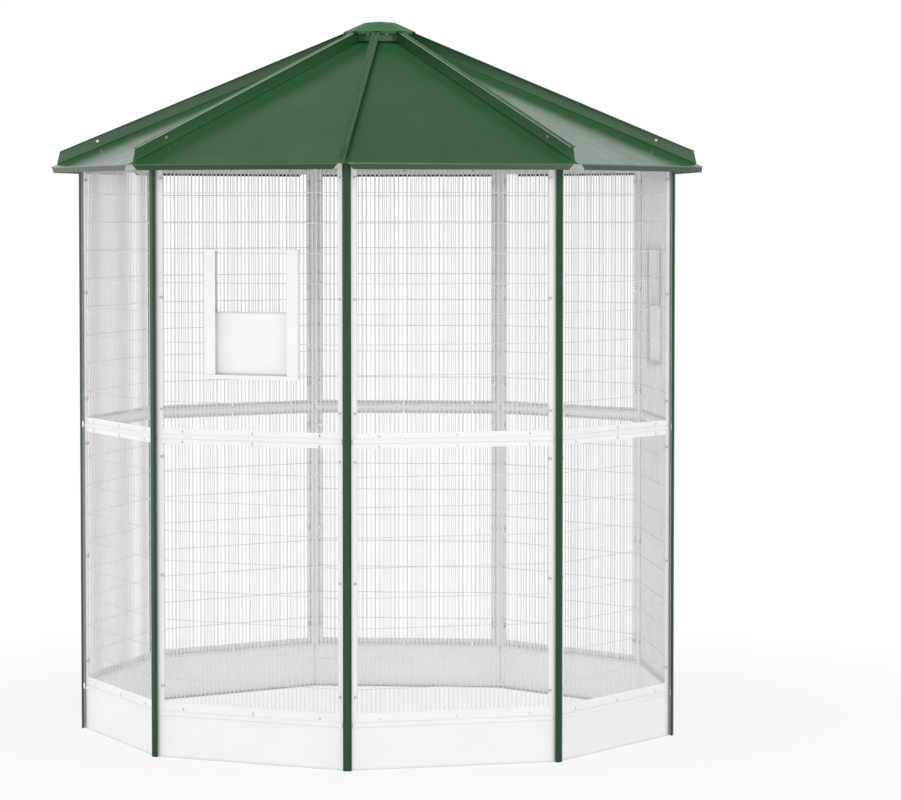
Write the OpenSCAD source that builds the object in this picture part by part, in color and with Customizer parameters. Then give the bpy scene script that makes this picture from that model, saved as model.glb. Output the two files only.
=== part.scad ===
// Nine-sided flight cage for small birds: sheet-framed wire walls, slide-on corner posts,
// a folded standing-seam roof with a central cap, and two lift-up doors.
// Millimetres, +Z up, standing on z = 0, with the front door wall facing -Y.

/* [Walls] */
// Width of a wall along its outer face, corner to corner
wall_w = 580; // [540:5:620]
// Height of the plain base skirt
skirt_h = 115; // [95:1:150]
// Height of a lower wire panel
lower_h = 750; // [680:1:800]
// Height of an upper wire panel, up to the underside of the roof
upper_h = 771; // [720:1:820]
// Thickness of the folded sheet
sheet_t = 1; // [0.8:0.1:1.2]
// Width of the skirt's inward foot flange
foot_w = 16; // [12:1:24]

/* [Panel frames] */
// Width of a stile, from the corner to the window
stile_w = 26; // [26:0.5:40]
// Height of a lower panel's bottom rail
lower_bottom_rail = 36; // [30:1:44]
// Height of a lower panel's top rail
lower_top_rail = 14; // [14:1:24]
// Height of an upper panel's bottom rail
upper_bottom_rail = 27; // [25:1:36]
// Height of an upper panel's top rail, mostly behind the eave
upper_top_rail = 46; // [44:1:60]
// Height of the bead folded along a panel's bottom edge
bead_h = 11; // [8:0.5:13]
// How far the bead stands out at its foot
bead_out = 3.2; // [2.4:0.1:4]
// Height of the upstand that laps behind the panel above
lap_h = 11; // [6:0.5:12]
// Gap between the upstand and the panel it laps
lap_gap = 0.3; // [0.2:0.1:0.6]
// Length of the sloped flange that the roof rests on
seat_w = 22; // [16:1:30]

/* [Wire mesh] */
// Wire thickness
wire_d = 2; // [1.6:0.1:2.4]
// Pitch of the upright wires
wire_pitch = 12.5; // [12:0.5:14]
// Wanted pitch of the cross wires
cross_pitch = 80; // [70:1:95]
// Lowest cross wire above the panel's bottom edge
cross_low = 19; // [17:0.5:20]
// Top cross wire below a lower panel's top edge
lower_cross_top = 9; // [8:0.5:10]
// Top cross wire below an upper panel's top edge
upper_cross_top = 32; // [26:1:38]
// How far upright wires run past the end cross wires
wire_over = 3; // [2:0.5:4]
// How far cross wires run past the outermost upright wires
cross_over = 5; // [3:0.5:6]
// Height of the lugs that hold the end cross wires
lug_h = 8; // [7:0.5:9]
// Width of the slot that a lug is cut from
lug_slot = 6; // [4:0.5:7]
// Lug distance from the middle of the wall
lug_at = 206; // [150:5:225]
// Gap between a lug's notch and the wire
lug_fit = 0.2; // [0.15:0.05:0.4]
// How far a lug reaches behind the mesh
lug_over = 1; // [0.5:0.25:2]

/* [Mesh screws] */
// Shank of a mesh screw
mesh_screw_d = 4; // [3:0.5:5]
// Head of a mesh screw
mesh_head_d = 7; // [6:0.5:9]
// Head height of a mesh screw
mesh_head_h = 2; // [1.5:0.1:3]
// Clamping washer behind the mesh
mesh_washer_d = 16; // [15:0.5:18]
// Washer thickness
mesh_washer_t = 1; // [0.8:0.1:1.5]
// Nut across
mesh_nut_d = 7; // [6.5:0.5:9]
// Nut height
mesh_nut_h = 3.2; // [2.5:0.1:4]
// Radial gap of a screw in its hole
screw_gap = 0.3; // [0.2:0.05:0.5]

/* [Corner posts] */
// Width of a corner post
post_w = 23; // [21:0.5:26]
// Width of the flat down the post's front
post_flat = 10; // [8:0.5:12]
// How far a post's front stands out from the corner
post_out = 9.5; // [9:0.1:11]
// Thickness of the post profile
post_t = 1.2; // [1:0.1:1.4]
// Posts end this far below the top of the walls
post_short = 14; // [12:1:30]
// Length of the panel flange that carries the hook
hook_out = 6.3; // [6:0.1:6.8]
// Sliding gap between post and hooks
post_gap = 0.3; // [0.2:0.05:0.5]
// Half the gap between neighbouring sheets at a corner
corner_gap = 0.25; // [0.2:0.05:0.5]
// Hooks start this far above a panel's bottom edge
hook_low = 14; // [13:1:20]
// Hooks end this far below a panel's top edge
hook_top = 2; // [1:0.5:6]
// Hooks end this far below the roof
hook_roof = 16; // [14:1:24]

/* [Roof] */
// Pitch of the roof sheets
roof_pitch = 24; // [20:0.1:27]
// Overhang of the eave beyond the wall
eave_out = 84; // [60:1:100]
// Depth of the turned-down eave lip
eave_lip = 15; // [12:1:24]
// Lip ends short of the hip at its fold by
lip_notch = 14; // [10:1:20]
// Lip is cut back further at its free edge by
lip_skew = 14; // [0:1:20]
// Height of the standing hip flanges
rib_h = 31; // [26:1:36]
// Width of the return on top of a hip flange
rib_w = 11; // [9:0.5:13]
// Hip flanges end short of the eave tip at their foot by
rib_short = 19; // [14:1:26]
// Lower end of a hip flange is cut back at its top, along the hip, by
rib_skew = 22; // [14:1:28]
// Hip flanges start at this distance from the axis
rib_start = 84; // [83:0.5:88]
// Gap between the roof sheet and its seat
seat_gap = 0.1; // [0.05:0.05:0.3]

/* [Hub and cap] */
// Distance of the sheets' upper ends from the axis
hub_out = 77; // [70:0.5:79]
// Height of the sheets' turned-up ends
hub_flange = 30; // [26:0.5:32]
// Turned-up ends stop short of the hips by
hub_end_gap = 4; // [3:0.5:6]
// Wall of the hub ring
hub_wall = 2; // [1.5:0.1:3]
// Hub ring below the sheets' upper ends
hub_drop = 6; // [3:0.5:10]
// Hub ring's top below the top of the turned-up ends
hub_lower = 2; // [1:0.5:4]
// Cross bar of the hub, width
hub_bar_w = 22; // [18:1:30]
// Cross bar of the hub, thickness
hub_bar_t = 3; // [2:0.5:5]
// Corner radius of the cap's rim
cap_rim = 105.5; // [99:0.5:110]
// Corner radius of the cap's shoulder
cap_shoulder = 45.5; // [36:0.5:55]
// Corner radius of the flat on top of the cap
cap_flat = 14; // [12:0.5:20]
// Corners of the cap are steeper than the hips by this angle
cap_steeper = 1.5; // [1:0.25:5]
// Rise of the cap from its shoulder to the flat
cap_crown = 3; // [1:0.5:6]
// Depth of the cap's turned-down rim
cap_lip = 8; // [5:0.5:12]
// Gap between the cap's rim and the ribs
cap_gap = 0.3; // [0.2:0.1:0.6]
// Side gap between a rim notch and the rib
cap_notch_gap = 1.5; // [1:0.25:3]

/* [Roof fasteners] */
// Seam bolt above the rib's lower end, along the rib
seam_bolt_in = 131; // [80:1:200]
// Seam bolt above the roof sheet
seam_bolt_up = 17.5; // [12:0.5:19]
// Seam bolt shank
seam_bolt_d = 5; // [4:0.5:6]
// Seam bolt head and nut across flats
seam_hex = 8; // [7:0.5:10]
// Seam bolt head height
seam_head_h = 3.5; // [3:0.1:4.5]
// Seam nut height
seam_nut_h = 4; // [3:0.1:5]
// Seam bolt beyond its nut
seam_bolt_over = 2; // [1:0.5:4]
// Hub screw shank
hub_screw_d = 4; // [3:0.5:5]
// Hub screw head
hub_head_d = 8; // [7:0.5:10]
// Hub screw head height
hub_head_h = 2.5; // [2:0.1:3.5]
// Hub screw above the sheet's upper end
hub_screw_up = 20; // [16:0.5:22]
// Hub screw length behind the flange
hub_screw_l = 9; // [6:0.5:12]
// Cap bolt shank
cap_bolt_d = 6; // [5:0.5:8]
// Cap bolt head
cap_head_d = 14; // [12:0.5:18]
// Cap bolt head height
cap_head_h = 2.5; // [2:0.1:4]
// Cap bolt below the hub's cross bar
cap_bolt_over = 3; // [1:0.5:6]

/* [Doors] */
// Half the number of upright wires cut for a door, on each side of the middle one
door_cut = 8; // [6:1:9]
// Middle of a door, counted in upright wires from the middle of the wall
door_shift = 1; // [-2:1:2]
// Cross wire under the door opening, counted from the lowest
door_cross_low = 2; // [1:1:3]
// Cross wire over the door opening
door_cross_top = 4; // [4:1:5]
// Door overlap below and above the opening
door_lap = 4; // [3:0.5:6]
// How far a door lifts
door_travel = 160; // [120:1:165]
// Width across the two door guides
guide_span = 280; // [276:1:288]
// Width of one guide
guide_w = 33; // [28:1:33]
// Depth of a guide, from the mesh to its front
guide_d = 16; // [13:0.5:20]
// Height of the sill under the door
sill_h = 11; // [8:0.5:14]
// Height of the stop bar over the door
stop_h = 4; // [3:0.5:6]
// Gap between a fully lifted door and the stop bar
stop_gap = 0.2; // [0.1:0.1:0.5]
// Side and front gap between a door and its guides
door_gap = 0.6; // [0.4:0.1:1]

/* [Hidden] */
sides = 9;
front_wall = 1;
side_wall = 4;
wall_step = 360 / sides;
half_step = wall_step / 2;
wall_half = wall_w / 2;
apothem = wall_half / tan(half_step);

// How deep a folded flange is set into the sheet that it is folded from
fold_set = sheet_t * 0.4;
// How far a mitred flange stands back from the sheet's own end
mitre_in = sheet_t / 2;
// How far a cutting shape runs past the faces that it opens
cut_over = 1;
round_fn = 24;
hex_fn = 6;

// Heights of the joints between the tiers
lower_z = skirt_h;
upper_z = lower_z + lower_h;
wall_top = upper_z + upper_h;
post_h = wall_top - post_short;

// Half width of a wall's sheet at a depth behind its outer face
edge_cut = corner_gap / cos(half_step);
function sheet_half(depth) = wall_half - depth * tan(half_step) - edge_cut;

// Wire mesh: upright wires, cross wire spacing and layers behind the sheet
wire_edge = 14;
wire_n = floor((wall_half - wire_edge) / wire_pitch);
wire_flats = 8;
cross_end = wire_n * wire_pitch + cross_over;
upright_y = sheet_t + wire_d / 2;
cross_y = sheet_t + wire_d * 1.5;
mesh_back = sheet_t + wire_d * 2;
lug_len = mesh_back + lug_over;
lug_u = (round(lug_at / wire_pitch - 0.5) + 0.5) * wire_pitch;
lug_mid = wire_pitch / 2;
function cross_gaps(h, top) = round((h - cross_low - top) / cross_pitch);
function cross_step(h, top) = (h - cross_low - top) / cross_gaps(h, top);
function cross_z(h, top, k) = cross_low + k * cross_step(h, top);

// Mesh screws stand between the two outermost wires, midway between cross wires
screw_u = (wire_n - 0.5) * wire_pitch;
screw_low = 0.75;
function screw_rows(h, top) =
    let (gaps = cross_gaps(h, top), step = cross_step(h, top))
    [for (k = [screw_low, floor(gaps / 2) + 0.5, gaps - 0.5]) cross_low + k * step];

// Corner post section: distances out from the corner along the radius
head_back = hook_out - sheet_t;
lip_front = head_back - post_gap;
lip_back = lip_front - post_t;
slope_run = (post_w - post_flat) / 2;
slope_rise = post_out - lip_front;
slope_angle = atan(slope_rise / slope_run);
slope_wall = post_t / sin(slope_angle);
function post_outer(out) = post_w / 2 - (out - lip_front) * slope_run / slope_rise;
function post_inner(out) = post_outer(out) - slope_wall;
head_half = post_inner(hook_out) - post_gap;
neck_half = corner_gap + sheet_t + post_gap * 3;

// Roof planes: height of a sheet's underside at a distance from the axis
eave_p = apothem + eave_out;
eave_half = eave_p * tan(half_step) - edge_cut;
function roof_under(p) = wall_top + seat_gap + (apothem - p) * tan(roof_pitch);
function roof_top(p) = roof_under(p) + sheet_t / cos(roof_pitch);
hip_slope = atan(tan(roof_pitch) * cos(half_step));
function hip_z(r) = roof_top(r * cos(half_step));
rib_end = eave_p / cos(half_step) - rib_short;
rib_len = (rib_end - rib_start) / cos(hip_slope);
hub_z = roof_under(hub_out);
hub_half = hub_out * tan(half_step) - hub_end_gap;
hub_r = (hub_out - sheet_t) / cos(half_step);
hub_flange_z = hub_z + fold_set;
hub_top = hub_z + hub_flange - hub_lower;
hub_screw_z = hub_flange_z + hub_screw_up;

// The cap rests on the outer corners of the ribs' returns, where they pass the inside of its rim
cap_h = (cap_rim - cap_shoulder) * tan(hip_slope + cap_steeper);
cap_slope = atan(cap_h / ((cap_rim - cap_shoulder) * cos(half_step)));
cap_drop = sheet_t / cos(cap_slope);
cap_rim_in = cap_rim - sheet_t / cos(half_step);
cap_seat = cap_rim_in - (corner_gap + rib_w) * tan(half_step);
cap_rim_z = hip_z(cap_seat) + rib_h / cos(hip_slope) + cap_drop + cap_gap;
cap_top_z = cap_rim_z + cap_h + cap_crown;
cap_notch = 2 * (corner_gap + rib_w + cap_notch_gap);
cap_notch_in = cap_rim - cap_seat + 3 * sheet_t;
corner_turn = half_step - 90;

// The polygon's axis stands off the middle of the outline, because nine corners aren't paired
reach_front = eave_p + sheet_t * sin(roof_pitch);
reach_back = reach_front * cos(half_step) + eave_half * sin(half_step);
axis_y = (reach_front - reach_back) / 2;

// Door places, measured in its wall's own frame
function upper_cross(k) = upper_z + cross_z(upper_h, upper_cross_top, k);
door_low_z = upper_cross(door_cross_low) - door_lap;
door_top_z = upper_cross(door_cross_top) + door_lap + wire_d / 2;
sill_z = door_low_z - sill_h;
stop_z = door_top_z + door_travel + stop_gap;
guide_top = stop_z + stop_h;
guide_out = guide_span / 2;
guide_in = guide_out - guide_w;
guide_front = sheet_t - guide_d;
door_half = guide_out - sheet_t - door_gap;
door_u = door_shift * wire_pitch;
door_back = -door_gap;
door_front = guide_front + sheet_t + door_gap;
guide_lug_wires = 1.5;
guide_lug_u = (round(guide_out / wire_pitch - guide_lug_wires) + 0.5) * wire_pitch;
guide_hook = floor((guide_top - lug_h / 2 - upper_cross(0)) / cross_step(upper_h, upper_cross_top));

green = "#2f6347";
white = "#f4f5f4";
zinc = "#b9bcbd";

// Places a piece in the frame of wall i, with the polygon's axis at the origin
module on_axis(i) {
    translate([0, axis_y, 0]) rotate([0, 0, (i - 1) * wall_step]) children();
}

// Places a piece in the frame of wall i: x along it, y inward from its outer face
module on_wall(i) {
    on_axis(i) translate([0, -apothem, 0]) children();
}

// Places a piece in the frame of the corner at the right end of wall i, outward along -y
module on_corner(i) {
    on_axis(i) rotate([0, 0, half_step]) children();
}

// Extrudes a (depth, height) profile along the wall, centred
module along_wall(len) {
    translate([-len / 2, 0, 0]) rotate([90, 0, 90]) linear_extrude(len) children();
}

// Extrudes an (across, height) outline through the sheet, from y = 0 inward
module through_sheet() {
    translate([0, sheet_t, 0]) rotate([90, 0, 0]) linear_extrude(sheet_t) children();
}

module both_ends() {
    children();
    mirror([1, 0, 0]) children();
}

// Points of one half of an outline, mirrored across the y axis and in reverse order
function mirrored(half) = [for (k = [1 : len(half)]) let (p = half[len(half) - k]) [-p[0], p[1]]];

// Half outline of a pan head that stands on z = 0, from its middle to the shank
function pan_head(d, h, shank_d) = [[0, -h], [0.3 * d, -h], [d / 2, -h / 2], [d / 2, 0], [shank_d / 2, 0]];

// Pan-headed screw: its shank runs along +z from under the head
module pan_screw(head_d, head_h, shank_d, length) {
    rotate_extrude($fn = round_fn)
        polygon(concat(pan_head(head_d, head_h, shank_d), [[shank_d / 2, length], [0, length]]));
}

// Outward flange with a turned hook, down one vertical edge of a sheet
module edge_hook(z0, z1) {
    translate([0, 0, z0]) linear_extrude(z1 - z0) translate([wall_half, 0]) rotate(half_step) {
        translate([-corner_gap - sheet_t, -hook_out]) square([sheet_t, hook_out + sheet_t / 2]);
        translate([-head_half, -hook_out]) square([head_half - corner_gap, sheet_t]);
    }
}

// Folded bead along a bottom edge, with the leaf leaning back to the sheet
module edge_bead() {
    lean = (bead_out - sheet_t) / bead_h;
    leaf = sheet_t * sqrt(1 + lean * lean);
    void_in = bead_out - leaf - sheet_t * lean;
    along_wall(wall_w - 2 * hook_low) difference() {
        polygon([[sheet_t / 2, 0], [-bead_out, 0], [-sheet_t, bead_h], [sheet_t / 2, bead_h]]);
        polygon([[0, sheet_t], [-void_in, sheet_t], [0, sheet_t + void_in / lean]]);
    }
}

// Ledge and upstand along a top edge, for the panel above to stand on and lap over
module edge_joggle(h) {
    step_in = sheet_t + lap_gap;
    along_wall(2 * sheet_half(step_in + sheet_t) - 2 * sheet_t) {
        translate([0, h - sheet_t]) square([step_in + sheet_t, sheet_t]);
        translate([step_in, h - sheet_t]) square([sheet_t, sheet_t + lap_h]);
    }
}

// Lug folded back from the sheet, notched for an end cross wire
module mesh_lug(u, z, open_up) {
    notch = wire_d / 2 + lug_fit;
    translate([u - sheet_t, 0, z]) rotate([90, 0, 90]) linear_extrude(sheet_t) difference() {
        translate([sheet_t / 2, -lug_h / 2]) square([lug_len, lug_h]);
        translate([cross_y - notch, open_up ? -notch : notch - lug_h]) square([2 * notch, lug_h]);
    }
}

function lug_places() = [-lug_u, lug_mid, lug_u];

// Face of a wire panel's frame: window, lug slots and screw holes
module panel_face(h, low_rail, top_rail, cross_top) {
    half = sheet_half(sheet_t);
    ends = [cross_low, h - cross_top];
    through_sheet() difference() {
        translate([-half, 0]) square([2 * half, h]);
        translate([stile_w - wall_half, low_rail])
            square([wall_w - 2 * stile_w, h - low_rail - top_rail]);
        for (u = lug_places(), z = ends) translate([u, z - lug_h / 2]) square([lug_slot, lug_h]);
        for (u = [-screw_u, screw_u], z = screw_rows(h, cross_top))
            translate([u, z]) circle(d = mesh_screw_d + 2 * screw_gap, $fn = round_fn);
    }
}

module panel_lugs(h, cross_top) {
    for (u = lug_places()) {
        mesh_lug(u, cross_low, true);
        mesh_lug(u, h - cross_top, false);
    }
}

// Plan outline of a sheet's inward flange, mitred at both ends
module mitred_plan(depth) {
    front = sheet_half(0) - mitre_in;
    back = sheet_half(depth) - mitre_in;
    polygon([[-front, 0], [front, 0], [back, depth], [-back, depth]]);
}

module base_skirt(i) {
    half = sheet_half(sheet_t);
    color(white) on_wall(i) {
        through_sheet() translate([-half, 0]) square([2 * half, skirt_h]);
        linear_extrude(sheet_t) mitred_plan(foot_w);
        edge_joggle(skirt_h);
        both_ends() edge_hook(0, skirt_h - hook_top);
    }
}

module lower_panel(i) {
    color(white) on_wall(i) translate([0, 0, lower_z]) {
        panel_face(lower_h, lower_bottom_rail, lower_top_rail, lower_cross_top);
        panel_lugs(lower_h, lower_cross_top);
        edge_bead();
        edge_joggle(lower_h);
        both_ends() edge_hook(hook_low, lower_h - hook_top);
    }
}

// Sloped flange under the roof, along the top edge of an upper panel
module roof_seat(h) {
    run = seat_w * cos(roof_pitch);
    rise = seat_w * sin(roof_pitch);
    under = sheet_t / cos(roof_pitch);
    inner = h + sheet_t * tan(roof_pitch) - under;
    intersection() {
        along_wall(wall_w) polygon([[0, h - 2 * sheet_t], [0, h], [run, h + rise],
            [run + sheet_t * sin(roof_pitch), h + rise - sheet_t * cos(roof_pitch)],
            [sheet_t, inner], [sheet_t, h - 2 * sheet_t]]);
        translate([0, 0, h - 3 * sheet_t]) linear_extrude(rise + 4 * sheet_t)
            mitred_plan(run + 2 * sheet_t);
    }
}

module upper_panel(i) {
    color(white) on_wall(i) translate([0, 0, upper_z]) {
        panel_face(upper_h - sheet_t, upper_bottom_rail, upper_top_rail - sheet_t,
            upper_cross_top - sheet_t);
        panel_lugs(upper_h, upper_cross_top);
        edge_bead();
        roof_seat(upper_h);
        both_ends() edge_hook(hook_low, upper_h - hook_roof);
    }
}

// Slide-on corner profile: a bevelled channel whose lips turn in behind the hooks
module corner_post(i) {
    crown = post_out - post_t;
    half = [[post_flat / 2, -post_out], [post_w / 2, -lip_front], [post_w / 2, -lip_back],
        [neck_half, -lip_back], [neck_half, -lip_front], [post_inner(lip_front), -lip_front],
        [post_inner(crown), -crown]];
    color(green) on_corner(i) translate([0, -wall_half / sin(half_step), 0])
        linear_extrude(post_h) polygon(concat(half, mirrored(half)));
}

// Round wire drawn with eight flats, so that crossing wires bear on each other
module wire(len) {
    half_flat = 180 / wire_flats;
    rotate([0, 0, half_flat]) cylinder(h = len, d = wire_d / cos(half_flat), $fn = wire_flats);
}

module upright(u, z0, z1) {
    translate([u, upright_y, z0]) wire(z1 - z0);
}

module cross_wire(z, u0, u1) {
    translate([u0, cross_y, z]) rotate([0, 90, 0]) wire(u1 - u0);
}

// Whole welded panel in a wall's frame
module panel_mesh(h, top) {
    for (k = [-wire_n : wire_n]) upright(k * wire_pitch, cross_low - wire_over, h - top + wire_over);
    for (k = [0 : cross_gaps(h, top)]) cross_wire(cross_z(h, top, k), -cross_end, cross_end);
}

// Welded panel with the wires cut away for a door
module door_mesh(h, top) {
    low = cross_z(h, top, door_cross_low) + wire_d / 2;
    high = cross_z(h, top, door_cross_top) - wire_d / 2;
    cut = (door_cut + 1) * wire_pitch + wire_d / 2;
    for (k = [-wire_n : wire_n]) {
        if (abs(k - door_shift) > door_cut) {
            upright(k * wire_pitch, cross_low - wire_over, h - top + wire_over);
        } else {
            upright(k * wire_pitch, cross_low - wire_over, low);
            upright(k * wire_pitch, high, h - top + wire_over);
        }
    }
    for (k = [0 : cross_gaps(h, top)]) {
        if (k <= door_cross_low || k >= door_cross_top) {
            cross_wire(cross_z(h, top, k), -cross_end, cross_end);
        } else {
            cross_wire(cross_z(h, top, k), -cross_end, door_u - cut);
            cross_wire(cross_z(h, top, k), door_u + cut, cross_end);
        }
    }
}

module lower_mesh() {
    color(white) for (i = [1 : sides]) on_wall(i) translate([0, 0, lower_z])
        panel_mesh(lower_h, lower_cross_top);
}

module upper_mesh() {
    color(white) for (i = [1 : sides]) if (i != front_wall && i != side_wall)
        on_wall(i) translate([0, 0, upper_z]) panel_mesh(upper_h, upper_cross_top);
}

module wall_door_mesh(i) {
    color(white) on_wall(i) translate([0, 0, upper_z]) door_mesh(upper_h, upper_cross_top);
}

// Pan-head screw with the washer and nut that clamp two wires behind the stile
module mesh_screw() {
    grip = sheet_t + wire_d;
    washer_end = grip + mesh_washer_t;
    nut_end = washer_end + mesh_nut_h;
    rotate([-90, 0, 0]) rotate_extrude($fn = round_fn)
        polygon(concat(pan_head(mesh_head_d, mesh_head_h, mesh_screw_d), [
            [mesh_screw_d / 2, grip], [mesh_washer_d / 2, grip], [mesh_washer_d / 2, washer_end],
            [mesh_nut_d / 2, washer_end], [mesh_nut_d / 2, nut_end], [0, nut_end]]));
}

module mesh_screws() {
    color(zinc) for (i = [1 : sides], u = [-screw_u, screw_u]) on_wall(i) {
        for (z = screw_rows(lower_h, lower_cross_top)) translate([u, 0, lower_z + z]) mesh_screw();
        for (z = screw_rows(upper_h, upper_cross_top)) translate([u, 0, upper_z + z]) mesh_screw();
    }
}

// Places a (along, up) outline on the hip, measured from the rib's lower end
module on_hip() {
    translate([rib_end, hip_z(rib_end)]) rotate(-hip_slope) children();
}

// Extrudes a (radius, height) outline sideways from the hip towards the sheet's own side
module beside_hip(w) {
    rotate([0, 0, half_step]) translate([-corner_gap, 0, 0]) rotate([90, 0, -90])
        linear_extrude(w) children();
}

// Standing flange along one hip edge, with the return on its top
module hip_rib() {
    beside_hip(sheet_t) on_hip() difference() {
        polygon([[-rib_len, -fold_set], [0, -fold_set], [-rib_skew, rib_h], [-rib_len, rib_h]]);
        translate([-seam_bolt_in, seam_bolt_up])
            circle(d = seam_bolt_d + 2 * screw_gap, $fn = round_fn);
    }
    beside_hip(rib_w) on_hip() translate([-rib_len, rib_h - sheet_t])
        square([rib_len - rib_skew, sheet_t]);
}

module roof_sheet(i) {
    slope_len = (eave_p - hub_out + sheet_t) / cos(roof_pitch);
    top_half = (hub_out - sheet_t) * tan(half_step) - edge_cut;
    eave_z = roof_under(eave_p);
    lip = [[eave_half - lip_notch, eave_lip + fold_set], [eave_half - lip_notch - lip_skew, 0]];
    color(green) on_axis(i) {
        translate([0, -eave_p, eave_z]) rotate([roof_pitch, 0, 0]) linear_extrude(sheet_t)
            polygon([[-eave_half, 0], [eave_half, 0], [top_half, slope_len], [-top_half, slope_len]]);
        translate([0, -eave_p, eave_z - eave_lip]) through_sheet() polygon(concat(lip, mirrored(lip)));
        translate([0, -hub_out, hub_flange_z]) through_sheet() difference() {
            translate([-hub_half, 0]) square([2 * hub_half, hub_flange]);
            translate([0, hub_screw_up])
                circle(d = hub_screw_d + 2 * screw_gap, $fn = round_fn);
        }
        both_ends() hip_rib();
    }
}

// Nine-sided ring that the sheets' turned-up ends are screwed to, with the cap's cross bar
module roof_hub() {
    inner_r = hub_r - hub_wall / cos(half_step);
    mid_r = (hub_r + inner_r) / 2;
    low = hub_z - hub_drop;
    color(green) difference() {
        union() {
            translate([0, axis_y, low]) rotate([0, 0, corner_turn]) difference() {
                cylinder(h = hub_top - low, r = hub_r, $fn = sides);
                translate([0, 0, -cut_over])
                    cylinder(h = hub_top - low + 2 * cut_over, r = inner_r, $fn = sides);
            }
            translate([0, axis_y, hub_top - hub_bar_t]) intersection() {
                rotate([0, 0, corner_turn]) cylinder(h = hub_bar_t, r = mid_r, $fn = sides);
                translate([-hub_bar_w / 2, -hub_r, 0]) cube([hub_bar_w, 2 * hub_r, hub_bar_t]);
            }
        }
        translate([0, axis_y, hub_top - hub_bar_t - cut_over])
            cylinder(h = hub_bar_t + 2 * cut_over, d = cap_bolt_d + 2 * screw_gap, $fn = round_fn);
        for (i = [1 : sides]) on_axis(i)
            translate([0, cut_over + hub_wall + sheet_t - hub_out, hub_screw_z]) rotate([90, 0, 0])
                cylinder(h = hub_wall + 2 * cut_over, d = hub_screw_d + 2 * screw_gap, $fn = round_fn);
    }
}

module hub_screws() {
    color(zinc) for (i = [1 : sides]) on_axis(i)
        translate([0, -hub_out, hub_screw_z]) rotate([-90, 0, 0])
            pan_screw(hub_head_d, hub_head_h, hub_screw_d, hub_screw_l);
}

// Solid dome that the cap is folded round, standing on its rim
module cap_dome() {
    cylinder(h = cap_h, r1 = cap_rim, r2 = cap_shoulder, $fn = sides);
    translate([0, 0, cap_h]) cylinder(h = cap_crown, r1 = cap_shoulder, r2 = cap_flat, $fn = sides);
}

// Folded nine-sided cap over the hub, with a rim notched for the ribs
module roof_cap() {
    color(green) translate([0, axis_y, cap_rim_z]) difference() {
        rotate([0, 0, corner_turn]) union() {
            difference() {
                cap_dome();
                translate([0, 0, -cap_drop]) cap_dome();
            }
            translate([0, 0, -cap_lip]) difference() {
                cylinder(h = cap_lip, r = cap_rim, $fn = sides);
                translate([0, 0, -cut_over])
                    cylinder(h = cap_lip + 2 * cut_over, r = cap_rim_in, $fn = sides);
            }
        }
        for (i = [1 : sides]) rotate([0, 0, (i - 0.5) * wall_step])
            translate([-cap_notch / 2, -cap_rim - cut_over, -cap_lip - cut_over])
                cube([cap_notch, cap_notch_in + cut_over, cap_lip - cap_drop + cut_over]);
        translate([0, 0, cap_h + cap_crown - 2 * cap_drop])
            cylinder(h = 3 * cap_drop, d = cap_bolt_d + 2 * screw_gap, $fn = round_fn);
    }
}

module cap_bolt() {
    color(zinc) translate([0, axis_y, cap_top_z]) rotate([180, 0, 0])
        pan_screw(cap_head_d, cap_head_h, cap_bolt_d, cap_top_z - hub_top + hub_bar_t + cap_bolt_over);
}

// Places a fastener at a hip's seam bolt, with its axis across the seam
module on_seam(i) {
    along = [cos(hip_slope), -sin(hip_slope)];
    up = [sin(hip_slope), cos(hip_slope)];
    at = [rib_end, hip_z(rib_end)] - seam_bolt_in * along + seam_bolt_up * up;
    on_corner(i) translate([0, -at[0], at[1]]) rotate([0, 90, 0]) children();
}

module hexagon_prism(h) {
    cylinder(h = h, d = seam_hex / cos(180 / hex_fn), $fn = hex_fn);
}

module seam_bolts() {
    grip = corner_gap + sheet_t;
    reach = grip + seam_nut_h + seam_bolt_over;
    color(zinc) for (i = [1 : sides]) on_seam(i) {
        translate([0, 0, grip]) hexagon_prism(seam_head_h);
        translate([0, 0, -reach])
            cylinder(h = reach + grip + seam_head_h / 2, d = seam_bolt_d, $fn = round_fn);
    }
}

module seam_nuts() {
    grip = corner_gap + sheet_t;
    color(zinc) for (i = [1 : sides]) on_seam(i) translate([0, 0, -grip - seam_nut_h]) difference() {
        hexagon_prism(seam_nut_h);
        translate([0, 0, -cut_over])
            cylinder(h = seam_nut_h + 2 * cut_over, d = seam_bolt_d + 2 * screw_gap, $fn = round_fn);
    }
}

// Guide channel, hooked over the cross wires by two lugs, open towards the door
module door_guide() {
    translate([0, 0, door_low_z]) linear_extrude(guide_top - door_low_z)
        translate([guide_in, guide_front]) difference() {
            square([guide_w, guide_d]);
            translate([-sheet_t, sheet_t]) square([guide_w, guide_d - 2 * sheet_t]);
        }
    for (k = [door_cross_low, guide_hook]) mesh_lug(guide_lug_u, upper_cross(k), false);
}

module door_guides(i) {
    color(white) on_wall(i) translate([door_u, 0, 0]) {
        both_ends() door_guide();
        along_wall(guide_span) translate([guide_front - sheet_t, sill_z]) difference() {
            square([guide_d + sheet_t, sill_h]);
            translate([sheet_t, -sheet_t]) square([guide_d - sheet_t, sill_h]);
        }
        along_wall(guide_span - 2 * sheet_t) translate([guide_front + sheet_t, stop_z])
            square([guide_d - 2 * sheet_t, stop_h]);
    }
}

// Door folded as a shallow tray that opens to the front, to be lifted by its top flange
module door_plate(i) {
    depth = door_back - door_front;
    height = door_top_z - door_low_z;
    color(white) on_wall(i) translate([door_u, 0, door_low_z]) difference() {
        along_wall(2 * door_half) translate([door_front, 0]) square([depth, height]);
        along_wall(2 * door_half - 2 * sheet_t) translate([door_front - sheet_t, sheet_t])
            square([depth, height - 2 * sheet_t]);
    }
}

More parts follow.
